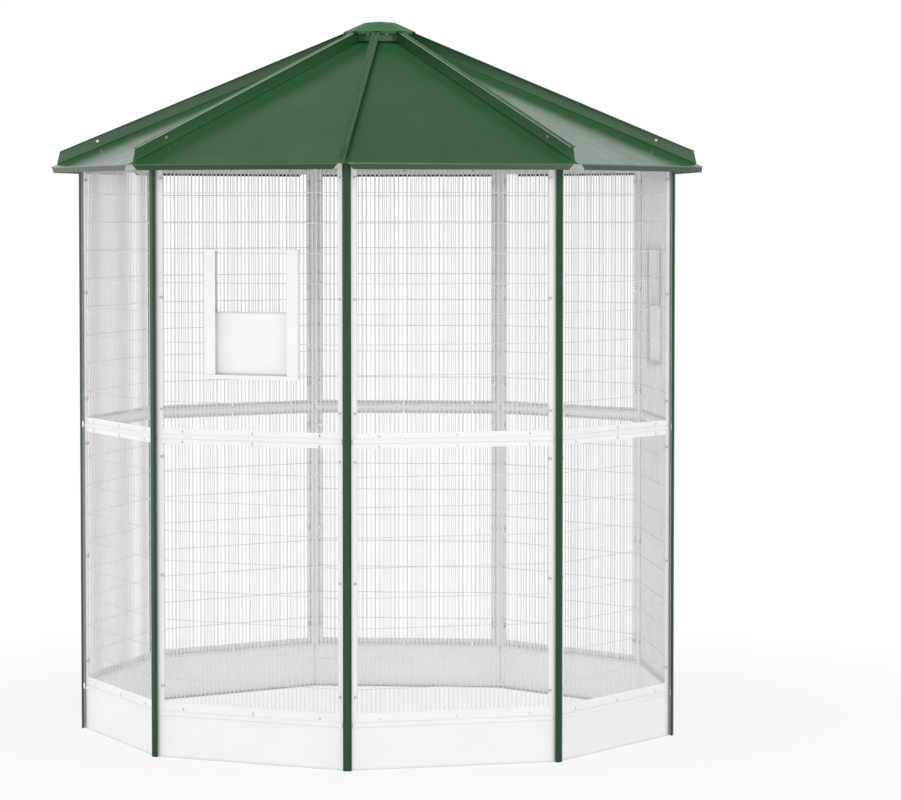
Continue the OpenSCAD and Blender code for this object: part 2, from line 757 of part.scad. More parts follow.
for (i = [1 : sides]) {
    base_skirt(i);
    lower_panel(i);
    upper_panel(i);
    corner_post(i);
    roof_sheet(i);
}
lower_mesh();
upper_mesh();
wall_door_mesh(front_wall);  // front_door_mesh
wall_door_mesh(side_wall);  // side_door_mesh
mesh_screws();
roof_hub();
hub_screws();
roof_cap();
cap_bolt();
seam_bolts();
seam_nuts();
door_guides(front_wall);  // front_door_guides
door_plate(front_wall);  // front_door_plate
door_guides(side_wall);  // side_door_guides
door_plate(side_wall);  // side_door_plate
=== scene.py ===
import math

import bmesh
import bpy
from mathutils import Matrix, Vector


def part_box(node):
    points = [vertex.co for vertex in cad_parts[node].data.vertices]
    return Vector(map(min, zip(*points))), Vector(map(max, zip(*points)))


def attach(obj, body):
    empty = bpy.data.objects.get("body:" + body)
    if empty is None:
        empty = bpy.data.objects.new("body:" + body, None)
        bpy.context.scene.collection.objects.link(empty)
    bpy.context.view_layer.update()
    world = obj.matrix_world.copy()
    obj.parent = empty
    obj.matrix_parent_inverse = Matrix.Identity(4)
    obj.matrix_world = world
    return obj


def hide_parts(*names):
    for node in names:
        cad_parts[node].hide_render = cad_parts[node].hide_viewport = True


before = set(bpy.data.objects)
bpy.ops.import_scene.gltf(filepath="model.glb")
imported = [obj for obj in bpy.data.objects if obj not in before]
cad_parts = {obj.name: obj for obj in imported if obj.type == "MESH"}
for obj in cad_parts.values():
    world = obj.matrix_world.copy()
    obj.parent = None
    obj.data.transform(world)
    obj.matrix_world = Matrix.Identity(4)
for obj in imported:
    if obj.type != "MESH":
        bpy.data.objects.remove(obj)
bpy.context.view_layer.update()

# A nine-sided flight cage for small birds, seen from the front right.
# Lengths are in metres, in the frame of the solids: +Z up, the front door wall facing -Y.

# Camera, fitted to the nine corners of the walls
CAMERA_AT = (4.3204, -8.9114, 1.467)
CAMERA_TILT = 86.917
CAMERA_TURN = 24.77
CAMERA_LENS = 137.7
CAMERA_SENSOR = 36
CAMERA_FAR = 200

# Walls
SIDES = 9
WALLS = range(1, SIDES + 1)
FRONT_WALL = 1
SIDE_WALL = 4
STEP = 2 * math.pi / SIDES
HALF = STEP / 2
WALL_HALF = 0.290
SKIRT_H = 0.115
LOWER_H = 0.750
UPPER_H = 0.771
SHEET = 0.001
CORNER_GAP = 0.00025

# Softened edges of the solids that keep their shape
WELD_WITHIN = 0.00001
EDGE_ANGLE = 40
SHEET_EDGE = 0.0002
CAP_EDGE = 0.0003
POST_EDGE = 0.0005
POST_SEGMENTS = 3

# Edges of the scene's own pieces that stay sharp, in degrees
SHARP_ANGLE = 32

# Wire mesh
WIRE_R = 0.001
WIRE_PITCH = 0.0125
WIRE_N = 22
WIRE_SIDES = 10
WIRE_SOFT = 0.35
WIRE_OVER = 0.003
CROSS_OVER = 0.005
CROSS_PITCH = 0.080
CROSS_LOW = 0.019
LOWER_CROSS_TOP = 0.009
UPPER_CROSS_TOP = 0.032
WELD_SINK = 0.0005
DOOR_CUT = 8
DOOR_SHIFT = 1
DOOR_CROSS_LOW = 2
DOOR_CROSS_TOP = 4

# Roof
PITCH = math.radians(24)
EAVE_OUT = 0.084
EAVE_LIP = 0.015
LIP_NOTCH = 0.014
LIP_SKEW = 0.014
RIB_H = 0.031
RIB_W = 0.011
RIB_SHORT = 0.019
RIB_SKEW = 0.022
RIB_START = 0.084
SEAT_GAP = 0.0001
HUB_OUT = 0.077
HUB_FLANGE = 0.030
HUB_END_GAP = 0.004
FOLD_SET = 0.0004
FOLD_STEPS = 5
FOLD_T = 0.00094
FOLD_LEAF = 0.006
FOLD_BACK = 0.003
EAVE_FOLD_R = 0.0036
HIP_FOLD_R = 0.00252
HUB_FOLD_R = 0.0018
SHEET_COLUMNS = 18
SHEET_ROWS = 22
# Depth of a sheet's bow, its half waves down and across the sheet, and where they start
SHEET_BOW = 0.0007
BOW_DOWN = 2.5
BOW_ACROSS = 1.7
BOW_START = 0.6

# Fasteners: head width and height, shank, and what they clamp
SCREW_LOW = 0.75
MESH_HEAD = (0.007, 0.002)
MESH_SHANK = 0.004
MESH_WASHER = (0.016, 0.001)
MESH_NUT = (0.007, 0.0032)
HUB_HEAD = (0.008, 0.0025)
HUB_SHANK = 0.004
HUB_SCREW_L = 0.009
HUB_SCREW_UP = 0.020
CAP_HEAD = (0.014, 0.0025)
CAP_SHANK = 0.006
SEAM_IN = 0.131
SEAM_UP = 0.0175
SEAM_SHANK = 0.005
SEAM_HEX = 0.008
SEAM_HEAD_H = 0.0035
SEAM_NUT_H = 0.004
SEAM_OVER = 0.002
THREAD_PITCH = 0.0008
THREAD_DEPTH = 0.0003
# Shares of a turn at which a thread has its crest and its root
THREAD_CREST = 0.15
THREAD_ROOT = 0.6
# Pan head, in shares of its radius and height: dome as (radius, height) pairs, edge and cross recess
HEAD_DOME = ((1, 0.45), (0.94, 0.70), (0.82, 0.88), (0.64, 1))
HEAD_SOFT = 0.08
RECESS_ARM = 0.52
RECESS_SLOT = 0.2
RECESS_DEEP = 0.6
RECESS_LIP = 0.96
RECESS_FLOOR = 0.55
NEARLY_ZERO = 1e-6
# Hexagons, in shares of their flats, apothem or bore, and washers, in shares of their thickness
HEX_CHAMFER = 0.07
HEX_FACE = 0.97
HEX_TOP = 0.95
BORE_FLARE = 1.12
WASHER_SOFT = 0.15
HEX_POINTS = 24
WASHER_POINTS = 32
# Degrees that a fastener is turned for each wall, side and metre of height, so that they don't line up
SPIN_WALL = 37
SPIN_SIDE = 61
SPIN_HEIGHT = 410
SPIN_ROOF = 23

# Paints: scale and depth of the orange peel, and how much it shows
ENAMEL_PEEL = (900, 0.00002)
POWDER_PEEL = (700, 0.00004)
WIRE_PEEL = (900, 0.00003)
PEEL_STRENGTH = 0.25
# Part of a noise that is used, and how much finer the noise in the gloss is than the mottle
NOISE_FROM = 0.3
NOISE_TO = 0.7
GLOSS_FINER = 2.3
# Tones that go from one value to another: start and end of what they follow, and the tone at each.
# Painted shade in folds follows how open a place is, painted light on upright faces how far a face is from
# upright, and the eave's painted highlight and shade the height above its fold: a painted highlight on the
# fold, painted shade on the lip below.
FOLD_SHADE_SAMPLES = 8
FOLD_SHADE = (0.35, 0.9, 0.62, 1.0)
UPRIGHT_LIGHT = (0.15, 0.55, 1.42, 1.0)
EAVE_PAINTED_LIGHT = ((0.0008, 0.0020, 1.5, 1.0), (-0.0026, -0.0012, 0.22, 1.0))
# Zinc: scales of its crystals and of its gloss
CRYSTALS = 900
ZINC_GLOSS = 300

# Stage: the floor's fade by distance, how clear it is near the cage, and its tone, gloss and drop
FLOOR_FADE = (1.1, 2.6)
FLOOR_CLEAR = 0.8
FLOOR_TONE = 0.9
FLOOR_ROUGH = 0.9
FLOOR_DROP = 0.0004
# Surroundings: sine of the elevation where they start and end to get dimmer, and the strength at each
CEILING = (0.45, 0.66, 1.0, 0.15)
# Lamps: place, aim, width and power
LAMPS = {
    "front": ((1.6, -7.4, 0.9), (0, 0, 0.5), 5.0, 54),
    "left": ((-6.4, -3.2, 1.4), (0, 0, 0.8), 4.0, 68),
    "right": ((6.6, -2.6, 2.6), (0, 0, 1.4), 4.0, 58),
    "top": ((0.4, -0.8, 6.6), (0, 0, 1.8), 3.2, 190),
}

APOTHEM = WALL_HALF / math.tan(HALF)
LOWER_Z = SKIRT_H
UPPER_Z = LOWER_Z + LOWER_H
WALL_TOP = UPPER_Z + UPPER_H
EAVE_REACH = APOTHEM + EAVE_OUT
EDGE_CUT = CORNER_GAP / math.cos(HALF)
HIP_SLOPE = math.atan(math.tan(PITCH) * math.cos(HALF))
RIB_END = EAVE_REACH / math.cos(HALF) - RIB_SHORT

bolt_low, bolt_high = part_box("cap_bolt")
AXIS = Matrix.Translation(((bolt_low.x + bolt_high.x) / 2, (bolt_low.y + bolt_high.y) / 2, 0))
FACING_OUT = Matrix.Rotation(-math.pi / 2, 4, "X")
ALONG_X = Matrix.Rotation(math.pi / 2, 4, "Y")
UPSIDE_DOWN = Matrix.Rotation(math.pi, 4, "X")


def on_axis(i):
    """Frame of wall i with the cage's axis at its origin."""
    return AXIS @ Matrix.Rotation((i - 1) * STEP, 4, "Z")


def on_wall(i):
    """Frame of wall i: x along it, y inward from its outer face, z up."""
    return on_axis(i) @ Matrix.Translation((0, -APOTHEM, 0))


def on_corner(i):
    """Frame of the corner at the right end of wall i, outward along -y."""
    return on_axis(i) @ Matrix.Rotation(HALF, 4, "Z")


def raised(z):
    return Matrix.Translation((0, 0, z))


def spun(degrees):
    return Matrix.Rotation(math.radians(degrees), 4, "Z")


def roof_mid(reach):
    """Height of the middle of a roof sheet at a distance from the axis."""
    return WALL_TOP + SEAT_GAP + (APOTHEM - reach) * math.tan(PITCH) + SHEET / 2 / math.cos(PITCH)


def even_angles(count):
    return [2 * math.pi * k / count for k in range(count)]


def ring(reaches, z, angles):
    """Points at height z, each as far from the z axis as its reach."""
    return [(reach * math.cos(a), reach * math.sin(a), z) for reach, a in zip(reaches, angles)]


def circle(radius, z, angles):
    return ring([radius] * len(angles), z, angles)


class Shape:
    """Vertices and faces of one piece."""

    def __init__(self):
        self.verts = []
        self.faces = []

    def add(self, verts, faces, place):
        start = len(self.verts)
        self.verts += [place @ Vector(v) for v in verts]
        self.faces += [[start + k for k in f] for f in faces]

    def rings(self, rings, place, closed=False):
        """Solid through rings of as many points each, with end faces or closed from last to first."""
        count = len(rings)
        n = len(rings[0])
        faces = []
        for a in range(count if closed else count - 1):
            here = a * n
            there = (a + 1) % count * n
            for k in range(n):
                after = (k + 1) % n
                faces.append([here + k, here + after, there + after, there + k])
        if not closed:
            faces.append(list(range(n))[::-1])
            faces.append([(count - 1) * n + k for k in range(n)])
        self.add([point for points in rings for point in points], faces, place)

    def wire(self, start, end):
        """Round wire with softened ends."""
        along = Vector(end) - Vector(start)
        soft = WIRE_R * WIRE_SOFT
        profile = [(WIRE_R - soft, 0), (WIRE_R, soft)]
        profile += [(WIRE_R, along.length - soft), (WIRE_R - soft, along.length)]
        angles = even_angles(WIRE_SIDES)
        place = Matrix.Translation(start) @ along.to_track_quat("Z", "Y").to_matrix().to_4x4()
        self.rings([circle(radius, z, angles) for radius, z in profile], place)


def piece(name, shape, material, stands_for, body="cage"):
    """Makes one piece from a shape, riding on a body in place of some solids."""
    mesh = bpy.data.meshes.new(name)
    mesh.from_pydata([tuple(v) for v in shape.verts], [], shape.faces)
    bm = bmesh.new()
    bm.from_mesh(mesh)
    bmesh.ops.recalc_face_normals(bm, faces=bm.faces)
    bm.to_mesh(mesh)
    bm.free()
    mesh.polygons.foreach_set("use_smooth", [True] * len(mesh.polygons))
    mesh.set_sharp_from_angle(angle=math.radians(SHARP_ANGLE))
    mesh.materials.append(material)
    obj = bpy.data.objects.new(name, mesh)
    bpy.context.scene.collection.objects.link(obj)
    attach(obj, body)
    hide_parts(*stands_for)


def bent(points, radius):
    """Centre line of a bent sheet as (point, normal) pairs, with its inner corners rounded."""
    points = [Vector(p) for p in points]
    first = (points[1] - points[0]).normalized()
    line = [(points[0], Vector((-first.y, first.x)))]
    for a, b, c in zip(points, points[1:], points[2:]):
        into = (b - a).normalized()
        out = (c - b).normalized()
        turn = math.atan2(into.x * out.y - into.y * out.x, into.dot(out))
        side = 1 if turn > 0 else -1
        start = b - into * radius * math.tan(abs(turn) / 2)
        normal = Vector((-into.y, into.x))
        centre = start + normal * radius * side
        for k in range(FOLD_STEPS + 1):
            turned = Matrix.Rotation(turn * k / FOLD_STEPS, 2) @ normal
            line.append((centre - turned * radius * side, turned))
    last = (points[-1] - points[-2]).normalized()
    line.append((points[-1], Vector((-last.y, last.x))))
    return line


def sheet_outline(points, radius):
    """Closed outline of a bent sheet along its centre line."""
    line = bent(points, radius)
    left = [point + normal * FOLD_T / 2 for point, normal in line]
    right = [point - normal * FOLD_T / 2 for point, normal in line]
    return left + right[::-1]


# Materials

def new_material(name):
    mat = bpy.data.materials.new(name)
    mat.use_nodes = True
    return mat, mat.node_tree.nodes, mat.node_tree.links, mat.node_tree.nodes["Principled BSDF"]


def noise(nodes, links, coord, scale, detail=3.0):
    tex = nodes.new("ShaderNodeTexNoise")
    tex.inputs["Scale"].default_value = scale
    tex.inputs["Detail"].default_value = detail
    links.new(coord.outputs["Object"], tex.inputs["Vector"])
    return tex.outputs["Fac"]


def map_range(nodes, links, value, start, end, at_start, at_end, kind="LINEAR"):
    """Number that goes from one level to another as a value goes from start to end."""
    ranged = nodes.new("ShaderNodeMapRange")
    ranged.interpolation_type = kind
    ranged.inputs["From Min"].default_value = start
    ranged.inputs["From Max"].default_value = end
    ranged.inputs["To Min"].default_value = at_start
    ranged.inputs["To Max"].default_value = at_end
    links.new(value, ranged.inputs["Value"])
    return ranged.outputs["Result"]


def toned(nodes, links, colour, value, start, end, at_start, at_end):
    """Colour scaled by a tone that follows a value."""
    scaled = nodes.new("ShaderNodeVectorMath")
    scaled.operation = "SCALE"
    links.new(colour, scaled.inputs[0])
    links.new(map_range(nodes, links, value, start, end, at_start, at_end), scaled.inputs["Scale"])
    return scaled.outputs["Vector"]


def painted_fold_shade(nodes, links, colour, reach):
    """Deepens a colour in folds and seams, where less light reaches: painted shade."""
    fold = nodes.new("ShaderNodeAmbientOcclusion")
    fold.samples = FOLD_SHADE_SAMPLES
    fold.inputs["Distance"].default_value = reach
    return toned(nodes, links, colour, fold.outputs["AO"], *FOLD_SHADE)


def painted_upright_light(nodes, links, colour):
    """Makes a colour paler on upright folds and faces than on the sheets beside them: painted light."""
    geometry = nodes.new("ShaderNodeNewGeometry")
    facing = nodes.new("ShaderNodeSeparateXYZ")
    links.new(geometry.outputs["True Normal"], facing.inputs[0])
    tilt = nodes.new("ShaderNodeMath")
    tilt.operation = "ABSOLUTE"
    links.new(facing.outputs["Z"], tilt.inputs[0])
    return toned(nodes, links, colour, tilt.outputs["Value"], *UPRIGHT_LIGHT)


def painted_eave_light(nodes, links, coord, colour, eave_z):
    """Paints a highlight along the eave's fold and painted shade on the lip below it."""
    height = nodes.new("ShaderNodeSeparateXYZ")
    links.new(coord.outputs["Object"], height.inputs[0])
    for low, high, below, above in EAVE_PAINTED_LIGHT:
        colour = toned(nodes, links, colour, height.outputs["Z"], eave_z + low, eave_z + high, below, above)
    return colour


def coat(name, deep, pale, mottle, rough, peel, shine=0.5, shade_reach=0, eave_z=0):
    """Sprayed and baked paint: a faint mottle, uneven gloss and a fine orange peel."""
    mat, nodes, links, bsdf = new_material(name)
    bsdf.inputs["Specular IOR Level"].default_value = shine
    coord = nodes.new("ShaderNodeTexCoord")
    ramp = nodes.new("ShaderNodeValToRGB")
    ramp.color_ramp.elements[0].position = NOISE_FROM
    ramp.color_ramp.elements[1].position = NOISE_TO
    ramp.color_ramp.elements[0].color = (*deep, 1)
    ramp.color_ramp.elements[1].color = (*pale, 1)
    links.new(noise(nodes, links, coord, mottle), ramp.inputs["Fac"])
    colour = ramp.outputs["Color"]
    # Painted shade: the colour is darkened in folds and seams.
    if shade_reach:
        colour = painted_fold_shade(nodes, links, colour, shade_reach)
    if eave_z:
        # Painted light: upright faces are made paler.
        colour = painted_upright_light(nodes, links, colour)
        # Painted highlight on the eave's fold and painted shade on its lip.
        colour = painted_eave_light(nodes, links, coord, colour, eave_z)
    links.new(colour, bsdf.inputs["Base Color"])
    uneven = noise(nodes, links, coord, mottle * GLOSS_FINER)
    links.new(map_range(nodes, links, uneven, NOISE_FROM, NOISE_TO, *rough), bsdf.inputs["Roughness"])
    peel_scale, peel_depth = peel
    bump = nodes.new("ShaderNodeBump")
    bump.inputs["Strength"].default_value = PEEL_STRENGTH
    bump.inputs["Distance"].default_value = peel_depth
    links.new(noise(nodes, links, coord, peel_scale, detail=1.0), bump.inputs["Height"])
    links.new(bump.outputs["Normal"], bsdf.inputs["Normal"])
    return mat


def zinc_plate(deep, pale, rough):
    """Bright zinc: a fine crystal pattern in the metal's tone, and an uneven gloss."""
    mat, nodes, links, bsdf = new_material("zinc")
    coord = nodes.new("ShaderNodeTexCoord")
    cells = nodes.new("ShaderNodeTexVoronoi")
    cells.inputs["Scale"].default_value = CRYSTALS
    links.new(coord.outputs["Object"], cells.inputs["Vector"])
    ramp = nodes.new("ShaderNodeValToRGB")
    ramp.color_ramp.elements[0].color = (*deep, 1)
    ramp.color_ramp.elements[1].color = (*pale, 1)
    links.new(cells.outputs["Color"], ramp.inputs["Fac"])
    links.new(ramp.outputs["Color"], bsdf.inputs["Base Color"])
    bsdf.inputs["Metallic"].default_value = 1.0
    uneven = noise(nodes, links, coord, ZINC_GLOSS)
    links.new(map_range(nodes, links, uneven, NOISE_FROM, NOISE_TO, *rough), bsdf.inputs["Roughness"])
    return mat


# The roof's green has painted light on upright faces, a painted highlight on the eave's fold and painted
# shade on its lip.
GREEN = coat("green_enamel", deep=(0.021, 0.085, 0.030), pale=(0.027, 0.096, 0.037), mottle=7.0,
             rough=(0.20, 0.26), peel=ENAMEL_PEEL, eave_z=roof_mid(EAVE_REACH - SHEET / 2))
# A darker copy of the green enamel for the posts, which have the same paint: painted shade.
POST_SHADED_GREEN = coat("green_enamel_painted_shade_posts", deep=(0.011, 0.048, 0.016), pale=(0.014, 0.057, 0.020), mottle=7.0,
                  rough=(0.20, 0.26), peel=ENAMEL_PEEL, shine=0.25)
# A paler copy of the green enamel for the cap, which has the same paint: painted light.
CAP_LIT_GREEN = coat("green_enamel_painted_light_cap", deep=(0.032, 0.118, 0.044), pale=(0.042, 0.136, 0.055), mottle=26.0,
                 rough=(0.48, 0.56), peel=ENAMEL_PEEL, shine=0.2)
# The white coat has painted shade in its folds and seams.
WHITE = coat("white_powder", deep=(0.86, 0.865, 0.86), pale=(0.885, 0.89, 0.885), mottle=9.0,
             rough=(0.34, 0.46), peel=POWDER_PEEL, shade_reach=0.010)
WIRE = coat("white_wire_coat", deep=(0.68, 0.685, 0.68), pale=(0.74, 0.745, 0.74), mottle=14.0,
            rough=(0.36, 0.50), peel=WIRE_PEEL)
ZINC = zinc_plate(deep=(0.50, 0.51, 0.52), pale=(0.68, 0.69, 0.70), rough=(0.28, 0.42))


# Solids that keep their shape: paint and softened edges

def finish_node(name, material, edge, segments=2):
    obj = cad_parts[name]
    obj.data.materials.clear()
    obj.data.materials.append(material)
    weld = obj.modifiers.new("weld", "WELD")
    weld.merge_threshold = WELD_WITHIN
    soft = obj.modifiers.new("soft edges", "BEVEL")
    soft.width = edge
    soft.segments = segments
    soft.limit_method = "ANGLE"
    soft.angle_limit = math.radians(EDGE_ANGLE)
    soft.harden_normals = True


for i in WALLS:
    for kind in ("base_skirt", "lower_panel", "upper_panel"):
        finish_node(f"{kind}_{i}", WHITE, SHEET_EDGE)
    finish_node(f"corner_post_{i}", POST_SHADED_GREEN, POST_EDGE, POST_SEGMENTS)
for door in ("front_door", "side_door"):
    finish_node(f"{door}_guides", WHITE, SHEET_EDGE)
    finish_node(f"{door}_plate", WHITE, SHEET_EDGE)
finish_node("roof_hub", GREEN, SHEET_EDGE)
finish_node("roof_cap", CAP_LIT_GREEN, CAP_EDGE)


# Welded wire panels, with the cross wires sunk into the uprights at each weld

def cross_heights(height, top):
    span = height - CROSS_LOW - top
    gaps = round(span / CROSS_PITCH)
    return [CROSS_LOW + span * k / gaps for k in range(gaps + 1)]


def wire_panel(shape, place, height, top, door=False):
    """Upright and cross wires of one panel, with an opening if it has a door."""
    crosses = cross_heights(height, top)
    low, high = crosses[0] - WIRE_OVER, crosses[-1] + WIRE_OVER
    upright_y = SHEET + WIRE_R
    cross_y = SHEET + 3 * WIRE_R - WELD_SINK
    end = WIRE_N * WIRE_PITCH + CROSS_OVER
    cut = (DOOR_CUT + 1) * WIRE_PITCH + WIRE_R
    mid = DOOR_SHIFT * WIRE_PITCH
    door_low, door_high = crosses[DOOR_CROSS_LOW], crosses[DOOR_CROSS_TOP]
    for k in range(-WIRE_N, WIRE_N + 1):
        x = k * WIRE_PITCH
        spans = [(low, high)]
        if door and abs(k - DOOR_SHIFT) <= DOOR_CUT:
            spans = [(low, door_low + WIRE_R), (door_high - WIRE_R, high)]
        for z0, z1 in spans:
            shape.wire(place @ Vector((x, upright_y, z0)), place @ Vector((x, upright_y, z1)))
    for k, z in enumerate(crosses):
        spans = [(-end, end)]
        if door and DOOR_CROSS_LOW < k < DOOR_CROSS_TOP:
            spans = [(-end, mid - cut), (mid + cut, end)]
        for x0, x1 in spans:
            shape.wire(place @ Vector((x0, cross_y, z)), place @ Vector((x1, cross_y, z)))


lower_wires = Shape()
upper_wires = Shape()
for i in WALLS:
    wire_panel(lower_wires, on_wall(i) @ raised(LOWER_Z), LOWER_H, LOWER_CROSS_TOP)
    if i not in (FRONT_WALL, SIDE_WALL):
        wire_panel(upper_wires, on_wall(i) @ raised(UPPER_Z), UPPER_H, UPPER_CROSS_TOP)
piece("lower_wires", lower_wires, WIRE, stands_for=["lower_mesh"])
piece("upper_wires", upper_wires, WIRE, stands_for=["upper_mesh"])
for door, i in (("front_door", FRONT_WALL), ("side_door", SIDE_WALL)):
    wires = Shape()
    wire_panel(wires, on_wall(i) @ raised(UPPER_Z), UPPER_H, UPPER_CROSS_TOP, door=True)
    piece(f"{door}_wires", wires, WIRE, stands_for=[f"{door}_mesh"])


# Roof sheets, folded along the eave, the hips and the hub

def trapezoid_sheet(shape, place):
    """Main sheet from the hub to the start of the eave fold, with a slight bow where it isn't held."""
    inner, outer = HUB_OUT - SHEET, EAVE_REACH - SHEET / 2
    normal = Vector((0, -math.sin(PITCH), math.cos(PITCH)))
    tip = LIP_NOTCH / (2 * EAVE_REACH * math.tan(HALF))
    middle = [tip + (1 - 2 * tip) * k / (SHEET_COLUMNS - 2) for k in range(SHEET_COLUMNS - 1)]
    across = [0] + middle + [1]
    layers = []
    for side in (0.5, -0.5):
        for r in range(SHEET_ROWS + 1):
            v = r / SHEET_ROWS
            for c, u in enumerate(across):
                under_fold = r == SHEET_ROWS and 0 < c < SHEET_COLUMNS
                reach = inner + (outer - inner) * v - FOLD_BACK * under_fold
                half = reach * math.tan(HALF) - EDGE_CUT
                bow = SHEET_BOW * math.sin(math.pi * u) * math.sin(math.pi * v)
                bow *= math.sin(BOW_DOWN * math.pi * v + BOW_ACROSS * math.pi * u + BOW_START)
                point = Vector(((2 * u - 1) * half, -reach, roof_mid(reach)))
                layers.append(point + normal * (SHEET * side + bow))
    n = SHEET_COLUMNS + 1
    total = n * (SHEET_ROWS + 1)
    faces = []
    for r in range(SHEET_ROWS):
        for c in range(SHEET_COLUMNS):
            a = r * n + c
            faces.append([a, a + 1, a + n + 1, a + n])
            faces.append([total + a + n, total + a + n + 1, total + a + 1, total + a])
    border = list(range(n))
    border += [r * n + n - 1 for r in range(1, SHEET_ROWS + 1)]
    border += [SHEET_ROWS * n + c for c in range(n - 2, -1, -1)]
    border += [r * n for r in range(SHEET_ROWS - 1, 0, -1)]
    for a, b in zip(border, border[1:] + border[:1]):
        faces.append([a, b, total + b, total + a])
    shape.add(layers, faces, place)


def share(part, whole):
    """Share of a whole, kept between 0 and 1."""
    return min(max(part / whole, 0), 1)


def eave_strip(shape, place):
    """Rounded fold and lip along the eave, with the lip's ends cut back."""
    reach = EAVE_REACH - SHEET / 2
    start = reach - FOLD_LEAF
    fold, free = roof_mid(reach), roof_mid(EAVE_REACH) - EAVE_LIP
    outline = sheet_outline([(start, roof_mid(start)), (reach, fold), (reach, free)], EAVE_FOLD_R)
    half = EAVE_REACH * math.tan(HALF) - EDGE_CUT - LIP_NOTCH
    ends = [half - LIP_SKEW * share(fold - z, fold - free) for _, z in outline]
    shape.rings([[(side * end, -y, z) for (y, z), end in zip(outline, ends)] for side in (-1, 1)], place)


def hub_strip(shape, place):
    """Turned-up inner end."""
    reach = HUB_OUT - SHEET / 2
    end = reach + FOLD_LEAF
    fold = roof_mid(reach)
    outline = sheet_outline([(reach, fold + HUB_FLANGE), (reach, fold), (end, roof_mid(end))], HUB_FOLD_R)
    half = HUB_OUT * math.tan(HALF) - HUB_END_GAP
    shape.rings([[(side * half, -y, z) for y, z in outline] for side in (-1, 1)], place)


def hip_frame():
    """Frame of a hip in its corner's frame: x across, y up from the sheet, z down to the rib's end."""
    top = roof_mid(RIB_END * math.cos(HALF)) + SHEET / 2 / math.cos(PITCH)
    across = Vector((1, 0, 0))
    up = Vector((0, -math.sin(HIP_SLOPE), math.cos(HIP_SLOPE)))
    down = Vector((0, -math.cos(HIP_SLOPE), -math.sin(HIP_SLOPE)))
    at = Vector((0, -RIB_END, top))
    return Matrix([(across[k], up[k], down[k], at[k]) for k in range(3)] + [(0, 0, 0, 1)])


def hip_strip(shape, place, hand):
    """Standing flange on one side of a hip with the return on its top."""
    length = (RIB_END - RIB_START) / math.cos(HIP_SLOPE)
    fall = math.sin(HALF) * math.tan(PITCH) * math.cos(HIP_SLOPE)
    near = CORNER_GAP + SHEET / 2
    sink = SHEET / 2
    top = RIB_H - SHEET / 2
    line = [(FOLD_LEAF, -FOLD_LEAF * fall - sink), (near, -sink), (near, top), (CORNER_GAP + RIB_W, top)]
    outline = [(hand * x, y) for x, y in sheet_outline(line, HIP_FOLD_R)]
    inner = [(x, y, -length) for x, y in outline]
    outer = [(x, y, -RIB_SKEW * share(y, RIB_H)) for x, y in outline]
    shape.rings([inner, outer], place @ hip_frame())


for i in WALLS:
    roof = Shape()
    trapezoid_sheet(roof, on_axis(i))
    eave_strip(roof, on_axis(i))
    hub_strip(roof, on_axis(i))
    hip_strip(roof, on_corner(i), -1)
    hip_strip(roof, on_corner(i - 1), 1)
    piece(f"roof_{i}", roof, GREEN, stands_for=[f"roof_sheet_{i}"])


# Fasteners: cross-recessed pan heads, chamfered hexagons and cut threads

def recess_angles(arm, slot):
    """Angles of a ring whose points fall on the corners of a cross recess."""
    corner = math.degrees(math.atan2(slot / 2, arm))
    between = (corner + 45) / 2
    quarter = (-corner, 0, corner, between, 45, 90 - between)
    return [math.radians(90 * q + a) for q in range(4) for a in quarter]


def cross_reach(angle, arm, slot):
    """Distance from the middle to the edge of a cross recess in one direction."""
    off = (angle + math.pi / 4) % (math.pi / 2) - math.pi / 4
    side = slot / 2 / max(math.sin(abs(off)), NEARLY_ZERO)
    return min(arm / math.cos(off), side)


def hexagon(apothem, z, angles):
    step = math.pi / 3
    return ring([apothem / math.cos((a + step / 2) % step - step / 2) for a in angles], z, angles)


def thread(radius, start, end, angles):
    """Rings of a threaded shank, with a chamfered end."""
    turns = max(int((end - start) / THREAD_PITCH), 1)
    pitch = (end - start) / turns
    root = radius - THREAD_DEPTH
    rings = []
    for k in range(turns):
        rings.append(circle(radius, start + pitch * (k + THREAD_CREST), angles))
        rings.append(circle(root, start + pitch * (k + THREAD_ROOT), angles))
    rings.append(circle(root, end, angles))
    return rings


def pan_screw(shape, place, head, shank, length, plain=0.0):
    """Screw along +z from under its head, threaded beyond its plain part."""
    radius, height = head[0] / 2, head[1]
    arm, slot = radius * RECESS_ARM, radius * RECESS_SLOT
    soft, deep = height * HEAD_SOFT, height * RECESS_DEEP
    angles = recess_angles(arm, slot)
    rings = thread(shank / 2, plain, length, angles)[::-1]
    rings += [circle(shank / 2, 0, angles), circle(radius - soft, 0, angles), circle(radius, -soft, angles)]
    rings += [circle(radius * wide, -height * up, angles) for wide, up in HEAD_DOME]
    for depth, grow in ((0, 1), (soft, RECESS_LIP), (deep, RECESS_FLOOR)):
        rings.append(ring([cross_reach(a, arm, slot) * grow for a in angles], -height + depth, angles))
    shape.rings(rings, place)


def washer(shape, place, across, bore, thickness):
    angles = even_angles(WASHER_POINTS)
    soft = thickness * WASHER_SOFT
    outer, inner = across / 2, bore / 2
    profile = [(outer - soft, 0), (outer, soft), (outer, thickness - soft), (outer - soft, thickness)]
    profile += [(inner, thickness), (inner, 0)]
    shape.rings([circle(radius, z, angles) for radius, z in profile], place, closed=True)


def hex_nut(shape, place, flats, bore, height):
    angles = even_angles(HEX_POINTS)
    apothem, inner = flats / 2, bore / 2
    chamfer = flats * HEX_CHAMFER
    face, flare = apothem * HEX_FACE, inner * BORE_FLARE
    rings = [circle(face, 0, angles), hexagon(apothem, chamfer, angles)]
    rings += [hexagon(apothem, height - chamfer, angles), circle(face, height, angles)]
    rings += [circle(flare, height, angles), circle(inner, height - chamfer / 2, angles)]
    rings += [circle(inner, chamfer / 2, angles), circle(flare, 0, angles)]
    shape.rings(rings, place, closed=True)


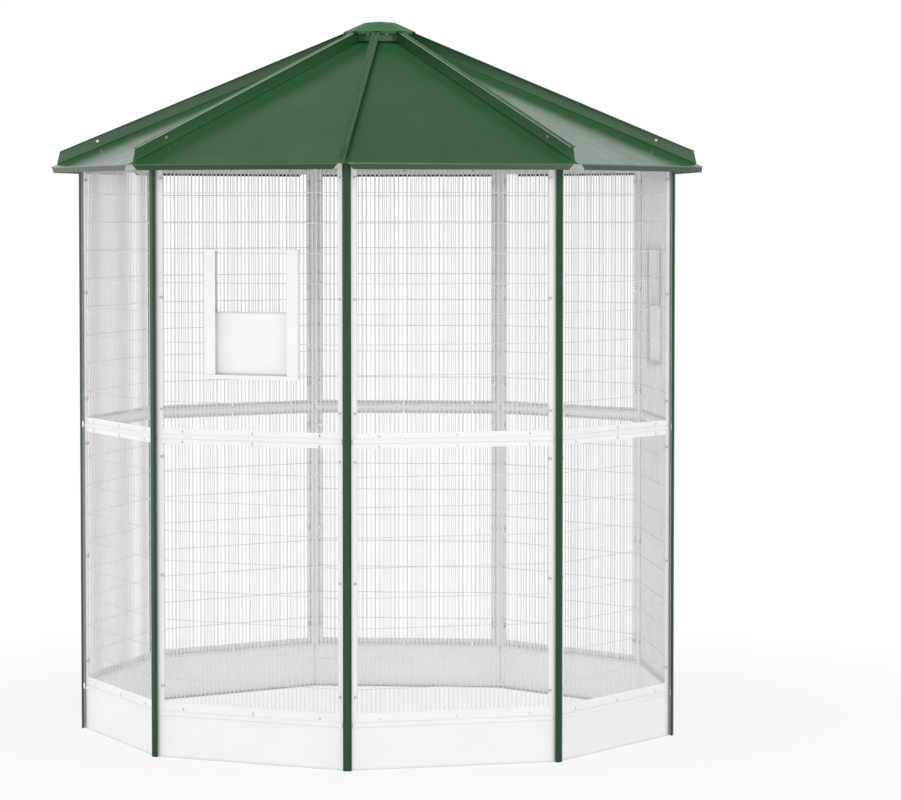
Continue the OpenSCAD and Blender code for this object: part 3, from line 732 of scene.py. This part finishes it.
def hex_bolt(shape, place, grip, end):
    """Seam bolt: head beyond the grip on the +z side, thread down to -end."""
    angles = even_angles(HEX_POINTS)
    apothem, shank = SEAM_HEX / 2, SEAM_SHANK / 2
    chamfer = SEAM_HEX * HEX_CHAMFER
    top = grip + SEAM_HEAD_H
    below = thread(shank, grip, end, angles)[::-1]
    above = [circle(shank, -grip, angles), circle(shank, grip, angles)]
    above += [circle(apothem * HEX_FACE, grip, angles), hexagon(apothem, grip + chamfer / 2, angles)]
    above += [hexagon(apothem, top - chamfer, angles), circle(apothem * HEX_TOP, top, angles)]
    rings = [[(x, -y, -z) for x, y, z in points] for points in below]
    rings += [[(x, -y, z) for x, y, z in points] for points in above]
    shape.rings(rings, place)


def screw_rows(height, top):
    """Heights of a panel's screws: low, at mid-height and high, each between two cross wires."""
    crosses = cross_heights(height, top)
    gaps = len(crosses) - 1
    return [crosses[0] + k * (crosses[1] - crosses[0]) for k in (SCREW_LOW, gaps // 2 + 0.5, gaps - 0.5)]


wall_screws = Shape()
mesh_grip = SHEET + 2 * WIRE_R
mesh_nut_at = mesh_grip + MESH_WASHER[1]
mesh_nut_end = mesh_nut_at + MESH_NUT[1]
mesh_nut_flats = MESH_NUT[0] * math.cos(math.pi / 6)
for i in WALLS:
    rows = [LOWER_Z + z for z in screw_rows(LOWER_H, LOWER_CROSS_TOP)]
    rows += [UPPER_Z + z for z in screw_rows(UPPER_H, UPPER_CROSS_TOP)]
    for z in rows:
        for side in (-1, 1):
            x = side * (WIRE_N - 0.5) * WIRE_PITCH
            at = on_wall(i) @ Matrix.Translation((x, 0, z)) @ FACING_OUT
            turned = at @ spun(SPIN_WALL * i + SPIN_SIDE * side + SPIN_HEIGHT * z)
            pan_screw(wall_screws, turned, MESH_HEAD, MESH_SHANK, mesh_nut_end, mesh_nut_at)
            washer(wall_screws, at @ raised(mesh_grip), MESH_WASHER[0], MESH_SHANK, MESH_WASHER[1])
            hex_nut(wall_screws, turned @ raised(mesh_nut_at), mesh_nut_flats, MESH_SHANK, MESH_NUT[1])
piece("wall_screws", wall_screws, ZINC, stands_for=["mesh_screws"])

seam_bolts = Shape()
seam_nuts = Shape()
hub_screws = Shape()
seam_grip = CORNER_GAP + SHEET
seam_nut_end = seam_grip + SEAM_NUT_H
seam_at = hip_frame() @ Vector((0, SEAM_UP, -SEAM_IN))
hub_screw_z = roof_mid(HUB_OUT) - SHEET / 2 / math.cos(PITCH) + FOLD_SET + HUB_SCREW_UP
for i in WALLS:
    seam = on_corner(i) @ Matrix.Translation(seam_at) @ ALONG_X @ spun(SPIN_ROOF * i)
    hex_bolt(seam_bolts, seam, seam_grip, seam_nut_end + SEAM_OVER)
    hex_nut(seam_nuts, seam @ raised(-seam_nut_end), SEAM_HEX, SEAM_SHANK, SEAM_NUT_H)
    at = on_axis(i) @ Matrix.Translation((0, -HUB_OUT, hub_screw_z)) @ FACING_OUT
    pan_screw(hub_screws, at @ spun(SPIN_ROOF * i), HUB_HEAD, HUB_SHANK, HUB_SCREW_L)
piece("seam_bolt_set", seam_bolts, ZINC, stands_for=["seam_bolts"])
piece("seam_nut_set", seam_nuts, ZINC, stands_for=["seam_nuts"])
piece("hub_screw_set", hub_screws, ZINC, stands_for=["hub_screws"])

cap_screw = Shape()
cap_top_z = bolt_high.z - CAP_HEAD[1]
cap_screw_at = AXIS @ raised(cap_top_z) @ UPSIDE_DOWN
pan_screw(cap_screw, cap_screw_at, CAP_HEAD, CAP_SHANK, cap_top_z - bolt_low.z)
piece("cap_screw", cap_screw, ZINC, stands_for=["cap_bolt"])


# Stage: a pale floor that keeps the shadow, white surroundings, soft lamps and the camera

def floor_material():
    """Pale floor that fades into the white surroundings away from the cage."""
    mat, nodes, links, bsdf = new_material("pale_floor")
    bsdf.inputs["Base Color"].default_value = (FLOOR_TONE, FLOOR_TONE, FLOOR_TONE, 1)
    bsdf.inputs["Roughness"].default_value = FLOOR_ROUGH
    coord = nodes.new("ShaderNodeTexCoord")
    away = nodes.new("ShaderNodeVectorMath")
    away.operation = "LENGTH"
    links.new(coord.outputs["Object"], away.inputs[0])
    fade = map_range(nodes, links, away.outputs["Value"], *FLOOR_FADE, FLOOR_CLEAR, 1.0, "SMOOTHSTEP")
    clear = nodes.new("ShaderNodeBsdfTransparent")
    mix = nodes.new("ShaderNodeMixShader")
    links.new(fade, mix.inputs["Fac"])
    links.new(bsdf.outputs["BSDF"], mix.inputs[1])
    links.new(clear.outputs["BSDF"], mix.inputs[2])
    links.new(mix.outputs["Shader"], nodes["Material Output"].inputs["Surface"])
    return mat


floor_half = FLOOR_FADE[1]
signs = ((-1, -1), (1, -1), (1, 1), (-1, 1))
corners = [(x * floor_half, y * floor_half, -FLOOR_DROP) for x, y in signs]
floor_mesh = bpy.data.meshes.new("floor")
floor_mesh.from_pydata(corners, [], [(0, 1, 2, 3)])
floor_mesh.materials.append(floor_material())
floor = bpy.data.objects.new("floor", floor_mesh)
bpy.context.scene.collection.objects.link(floor)


def studio_world():
    """White surroundings that are dimmer towards the ceiling."""
    world = bpy.data.worlds.new("studio")
    bpy.context.scene.world = world
    world.use_nodes = True
    nodes, links = world.node_tree.nodes, world.node_tree.links
    coord = nodes.new("ShaderNodeTexCoord")
    height = nodes.new("ShaderNodeSeparateXYZ")
    links.new(coord.outputs["Generated"], height.inputs[0])
    strength = map_range(nodes, links, height.outputs["Z"], *CEILING, "SMOOTHSTEP")
    links.new(strength, nodes["Background"].inputs["Strength"])
    nodes["Background"].inputs["Color"].default_value = (1, 1, 1, 1)


def area_light(name, at, aim, width, power):
    light = bpy.data.lights.new(name, "AREA")
    light.shape = "DISK"
    light.size = width
    light.energy = power
    obj = bpy.data.objects.new(name, light)
    bpy.context.scene.collection.objects.link(obj)
    obj.location = at
    obj.rotation_mode = "QUATERNION"
    obj.rotation_quaternion = (Vector(aim) - Vector(at)).to_track_quat("-Z", "Y")


studio_world()
for lamp, (at, aim, width, power) in LAMPS.items():
    area_light(lamp, at, aim, width, power)

camera_data = bpy.data.cameras.new("camera")
camera_data.lens = CAMERA_LENS
camera_data.sensor_width = CAMERA_SENSOR
camera_data.clip_end = CAMERA_FAR
camera = bpy.data.objects.new("camera", camera_data)
camera.location = CAMERA_AT
camera.rotation_euler = (math.radians(CAMERA_TILT), 0, math.radians(CAMERA_TURN))
bpy.context.scene.collection.objects.link(camera)
bpy.context.scene.camera = camera
bpy.context.scene.view_settings.view_transform = "Standard"
